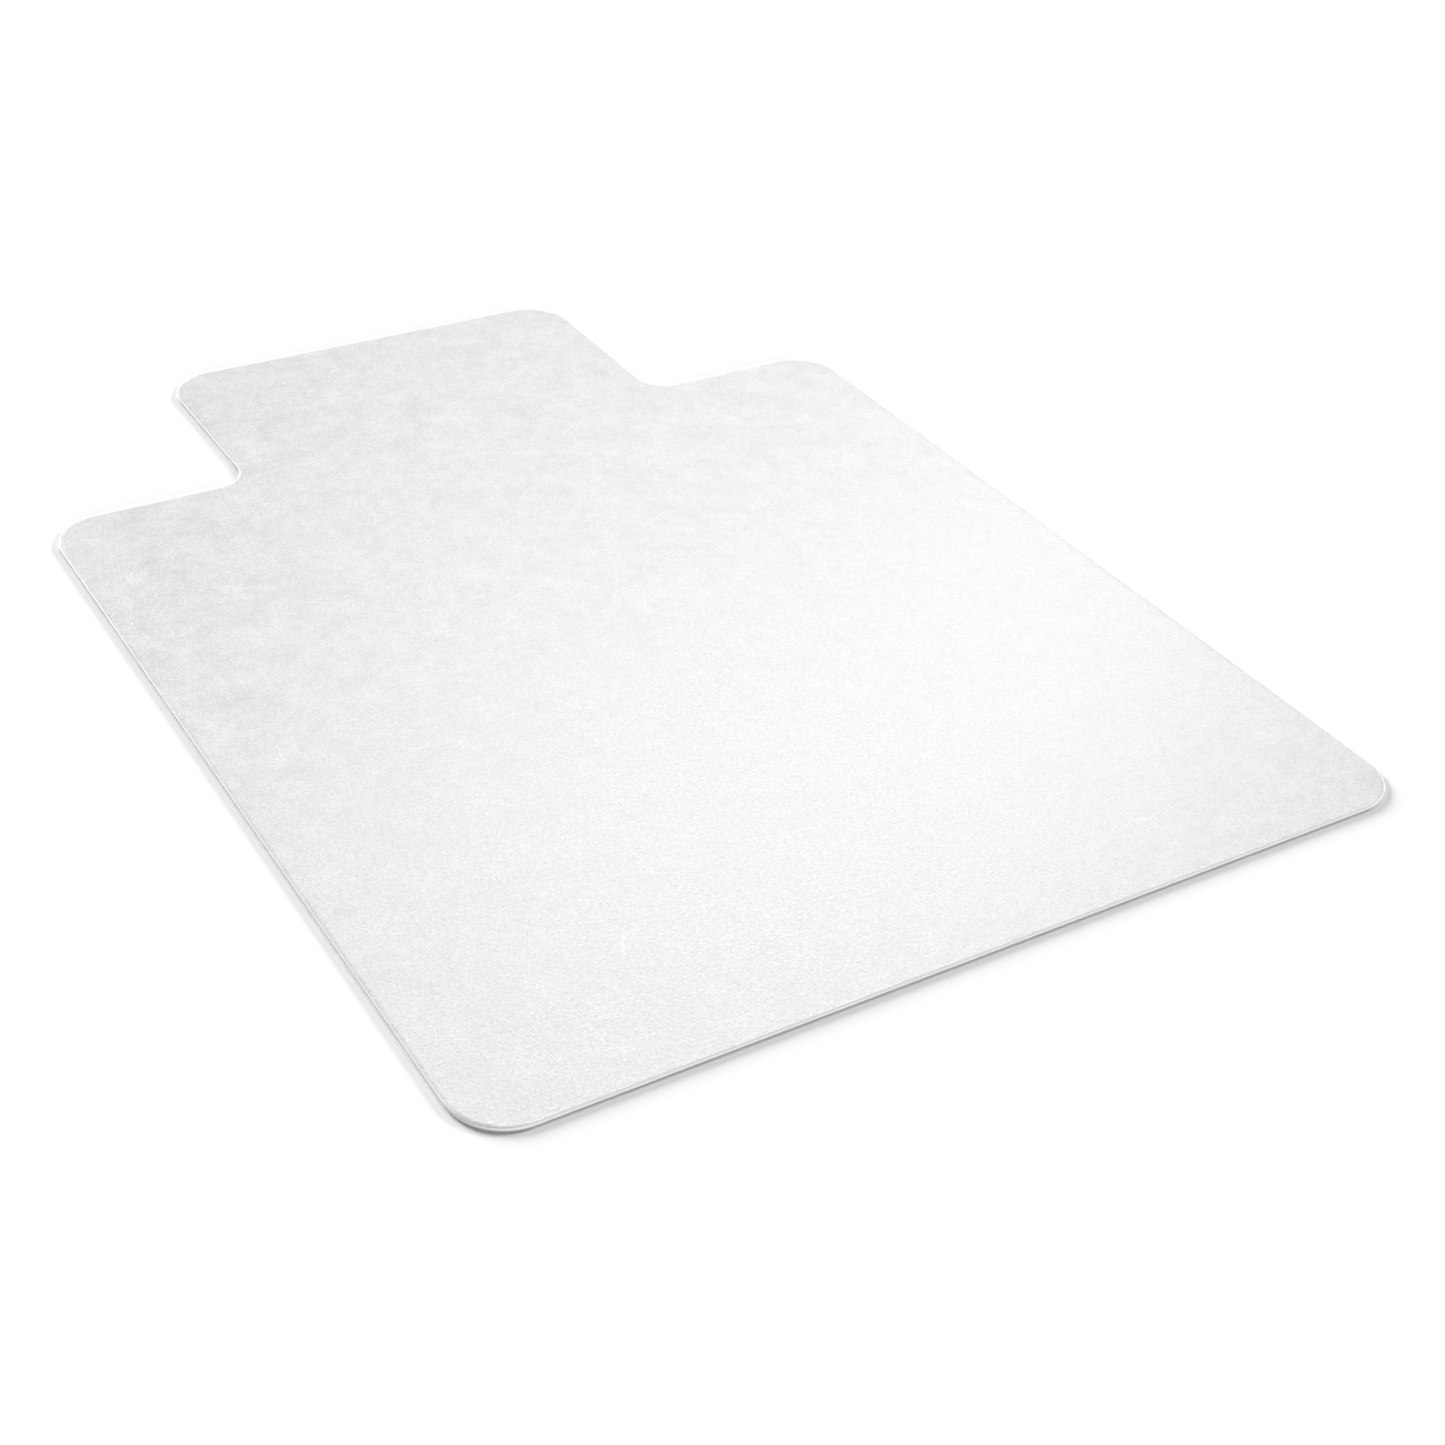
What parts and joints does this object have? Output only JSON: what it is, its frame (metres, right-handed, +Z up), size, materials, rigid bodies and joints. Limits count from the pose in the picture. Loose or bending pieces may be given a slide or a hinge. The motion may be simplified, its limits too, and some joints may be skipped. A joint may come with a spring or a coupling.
{
  "type": "chair mat",
  "caption": "Flat translucent vinyl chair mat for hard floors, with a lip that reaches in under a desk and an embossed rolling surface.",
  "frame": {"origin": "middle of the bounding rectangle of the underside, on the floor", "axes": "+X across the width of the sheet, +Y towards the lip that goes under the desk, +Z up out of the rolling surface"},
  "size_m": [0.9144, 1.2192, 0.003],
  "materials": {
    "smooth_vinyl": "smooth translucent vinyl, semi-gloss",
    "core_vinyl": "milky translucent vinyl with a die-cut edge",
    "embossed_vinyl": "fine random embossed grain, frosted translucent vinyl, satin"
  },
  "bodies": {
    "root": {"base_ply": "smooth_vinyl", "core_ply": "core_vinyl", "top_ply": "embossed_vinyl"}
  },
  "joints": []
}
